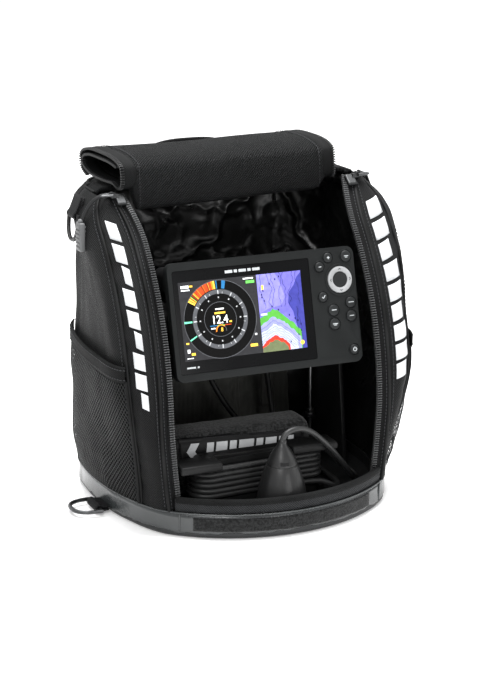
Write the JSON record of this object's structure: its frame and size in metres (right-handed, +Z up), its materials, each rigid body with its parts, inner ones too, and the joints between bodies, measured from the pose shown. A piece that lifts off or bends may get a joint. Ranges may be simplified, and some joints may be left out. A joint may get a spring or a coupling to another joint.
{
  "type": "portable fish finder kit",
  "caption": "Soft carry case open at the front, holding a round-dial sonar display on a tilting gimbal, a wrapped battery, a wound cable and a cone-shaped ice transducer.",
  "frame": {"origin": "under the middle of the whole outline, on the surface the case stands on", "axes": "+Z up, the open front with the screen faces -Y, +X to the right of someone facing it"},
  "size_m": [0.3262, 0.2454, 0.3194],
  "materials": {
    "twill": "black woven twill with padded backing",
    "coated": "grey coated fabric, glossy",
    "mesh": "black open mesh",
    "binding": "black elastic ribbed binding",
    "zipper": "black moulded zipper teeth on woven tape",
    "steel": "satin metal hardware",
    "webbing": "black woven webbing",
    "moulded_rubber": "dark grey moulded rubber",
    "transducer_rubber": "black matt moulded body",
    "shuttle": "black textured plastic",
    "wrap_cloth": "charcoal brushed loop cloth over foam",
    "cable": "dark grey cable jacket",
    "bezel": "dark grey textured plastic",
    "screen": "dark glossy screen",
    "circuit_board": "green circuit board",
    "keys": "dark grey backlit keys",
    "ring_light": "pale grey pad"
  },
  "bodies": {
    "case": {"front_border_right": "twill", "front_border_left": "twill", "side_panel_right": "twill", "side_panel_left": "twill", "back_panel": "twill", "top_panel": "twill", "bottom_boot": "coated", "front_lip": "twill", "zipper_chain_right": "zipper", "zipper_chain_left": "zipper", "zipper_slider_right": "steel", "zipper_slider_left": "steel", "mesh_pocket_right": "mesh", "mesh_pocket_left": "mesh", "pocket_binding_right": "binding", "pocket_binding_left": "binding", "front_flap": "twill", "lower_ring_tab_left": "webbing", "lower_ring_tab_right": "webbing", "upper_tab_right": "webbing", "upper_tab_left": "webbing", "shuttle_tray": "shuttle", "shuttle_wall_right": "shuttle", "shuttle_wall_left": "shuttle", "shuttle_shelf": "shuttle", "battery_wrap": "wrap_cloth", "battery": "shuttle", "cable_coil": "cable", "cable_wrap": "shuttle", "transducer": "transducer_rubber", "cable_lead": "cable", "cable_tail": "cable", "power_cable": "cable", "gimbal_bracket": "shuttle"},
    "head": {"front_bezel": "bezel", "screen_glass": "screen", "display_panel": "screen", "rear_housing": "shuttle", "main_board": "circuit_board", "transducer_plug": "shuttle", "power_plug": "shuttle"},
    "button_zoom_in": {"button_zoom_in": "keys"},
    "button_zoom_out": {"button_zoom_out": "keys"},
    "button_info": {"button_info": "keys"},
    "button_check": {"button_check": "keys"},
    "button_menu": {"button_menu": "keys"},
    "button_view": {"button_view": "keys"},
    "button_exit": {"button_exit": "keys"},
    "button_mark": {"button_mark": "keys"},
    "button_power": {"button_power": "keys"},
    "cursor_pivot": {"cursor_pivot": "shuttle"},
    "cursor_pad": {"cursor_pad": "ring_light"},
    "gimbal_knob_right": {"gimbal_knob_right": "shuttle"},
    "gimbal_knob_left": {"gimbal_knob_left": "shuttle"},
    "lower_ring_left": {"lower_ring_left": "steel"},
    "lower_ring_right": {"lower_ring_right": "steel"},
    "upper_ring_left": {"upper_ring_left": "moulded_rubber"},
    "zipper_pull_left": {"zipper_pull_left": "moulded_rubber"},
    "zipper_pull_right": {"zipper_pull_right": "steel"},
    "carry_handle": {"carry_handle": "webbing"}
  },
  "joints": [
    {"name": "display_tilt", "type": "hinge", "parent": "case", "child": "head", "pos_m": [-0.0006, -0.02728, 0.17882], "axis": [1, 0, 0], "range_deg": [-12, 18]},
    {"name": "gimbal_knob_right_turn", "type": "hinge", "parent": "head", "child": "gimbal_knob_right", "pos_m": [0.0894, -0.02728, 0.17882], "axis": [1, 0, 0], "continuous": true},
    {"name": "gimbal_knob_left_turn", "type": "hinge", "parent": "head", "child": "gimbal_knob_left", "pos_m": [-0.0906, -0.02728, 0.17882], "axis": [1, 0, 0], "continuous": true},
    {"name": "button_zoom_in_press", "type": "slide", "parent": "head", "child": "button_zoom_in", "axis": [0, 0.9703, -0.2419], "range_m": [0, 0.0008], "stiffness_N_per_m": 900, "springref_m": -0.0004},
    {"name": "button_zoom_out_press", "type": "slide", "parent": "head", "child": "button_zoom_out", "axis": [0, 0.9703, -0.2419], "range_m": [0, 0.0008], "stiffness_N_per_m": 900, "springref_m": -0.0004},
    {"name": "button_info_press", "type": "slide", "parent": "head", "child": "button_info", "axis": [0, 0.9703, -0.2419], "range_m": [0, 0.0008], "stiffness_N_per_m": 900, "springref_m": -0.0004},
    {"name": "button_check_press", "type": "slide", "parent": "head", "child": "button_check", "axis": [0, 0.9703, -0.2419], "range_m": [0, 0.0008], "stiffness_N_per_m": 900, "springref_m": -0.0004},
    {"name": "button_menu_press", "type": "slide", "parent": "head", "child": "button_menu", "axis": [0, 0.9703, -0.2419], "range_m": [0, 0.0008], "stiffness_N_per_m": 900, "springref_m": -0.0004},
    {"name": "button_view_press", "type": "slide", "parent": "head", "child": "button_view", "axis": [0, 0.9703, -0.2419], "range_m": [0, 0.0008], "stiffness_N_per_m": 900, "springref_m": -0.0004},
    {"name": "button_exit_press", "type": "slide", "parent": "head", "child": "button_exit", "axis": [0, 0.9703, -0.2419], "range_m": [0, 0.0008], "stiffness_N_per_m": 900, "springref_m": -0.0004},
    {"name": "button_mark_press", "type": "slide", "parent": "head", "child": "button_mark", "axis": [0, 0.9703, -0.2419], "range_m": [0, 0.0008], "stiffness_N_per_m": 900, "springref_m": -0.0004},
    {"name": "button_power_press", "type": "slide", "parent": "head", "child": "button_power", "axis": [0, 0.9703, -0.2419], "range_m": [0, 0.0008], "stiffness_N_per_m": 900, "springref_m": -0.0004},
    {"name": "cursor_rock_up_down", "type": "hinge", "parent": "head", "child": "cursor_pivot", "pos_m": [0.0721, -0.04745, 0.20127], "axis": [1, 0, 0], "range_deg": [-3, 3], "stiffness_Nm_per_rad": 0.5},
    {"name": "cursor_rock_left_right", "type": "hinge", "parent": "cursor_pivot", "child": "cursor_pad", "pos_m": [0.0721, -0.04745, 0.20127], "axis": [0, 0.2419, 0.9703], "range_deg": [-3, 3], "stiffness_Nm_per_rad": 0.5},
    {"name": "lower_ring_left_swing", "type": "hinge", "parent": "case", "child": "lower_ring_left", "pos_m": [-0.139, 0.00525, 0.0046], "axis": [0, 1, 0], "range_deg": [0, 95]},
    {"name": "lower_ring_right_swing", "type": "hinge", "parent": "case", "child": "lower_ring_right", "pos_m": [0.139, 0.02725, 0.0046], "axis": [0, -1, 0], "range_deg": [0, 95]},
    {"name": "upper_ring_left_swing", "type": "hinge", "parent": "case", "child": "upper_ring_left", "pos_m": [-0.1422, 0.03525, 0.262], "axis": [0, 1, 0], "range_deg": [0, 120]},
    {"name": "zipper_pull_left_swing", "type": "hinge", "parent": "case", "child": "zipper_pull_left", "pos_m": [-0.1178, 0.00525, 0.2826], "axis": [0, 1, 0], "range_deg": [0, 60]},
    {"name": "zipper_pull_right_swing", "type": "hinge", "parent": "case", "child": "zipper_pull_right", "pos_m": [0.1166, 0.00525, 0.2826], "axis": [0, -1, 0], "range_deg": [0, 80]},
    {"name": "carry_handle_fold", "type": "hinge", "parent": "case", "child": "carry_handle", "pos_m": [-0.0006, 0.12295, 0.25], "axis": [-1, 0, 0], "range_deg": [0, 165]}
  ]
}
